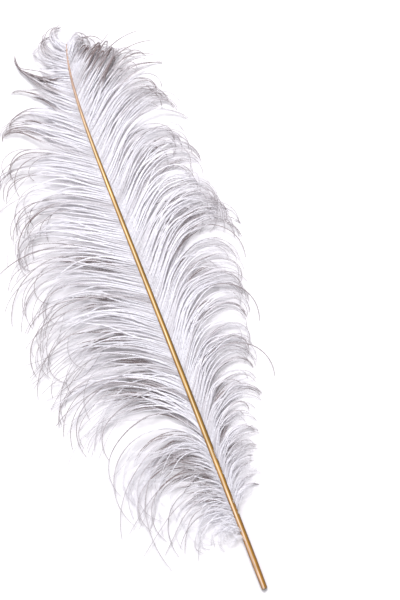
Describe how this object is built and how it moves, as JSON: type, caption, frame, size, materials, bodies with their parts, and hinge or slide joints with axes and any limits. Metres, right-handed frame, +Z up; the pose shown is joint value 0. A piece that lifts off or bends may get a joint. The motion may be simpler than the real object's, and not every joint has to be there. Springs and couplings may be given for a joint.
{
  "type": "ostrich feather",
  "caption": "Ostrich wing plume lying flat: a slightly bowed golden shaft with a bare quill end, and two vanes of long soft silver-white barbs that part into drooping locks.",
  "frame": {"origin": "on the surface the plume lies on, under the middle of its bounding box", "axes": "+Y along the shaft from the quill's end to the tip, +X across the vanes with the wide vane on -X, +Z up out of the surface"},
  "size_m": [0.2522, 0.616, 0.0169],
  "materials": {
    "vane": "soft silver-white barbs with a faint lavender cast and a silky sheen",
    "horn": "smooth glossy golden keratin, ochre at the edges and paler along its middle"
  },
  "bodies": {
    "root": {"feather": "vane"}
  },
  "joints": []
}
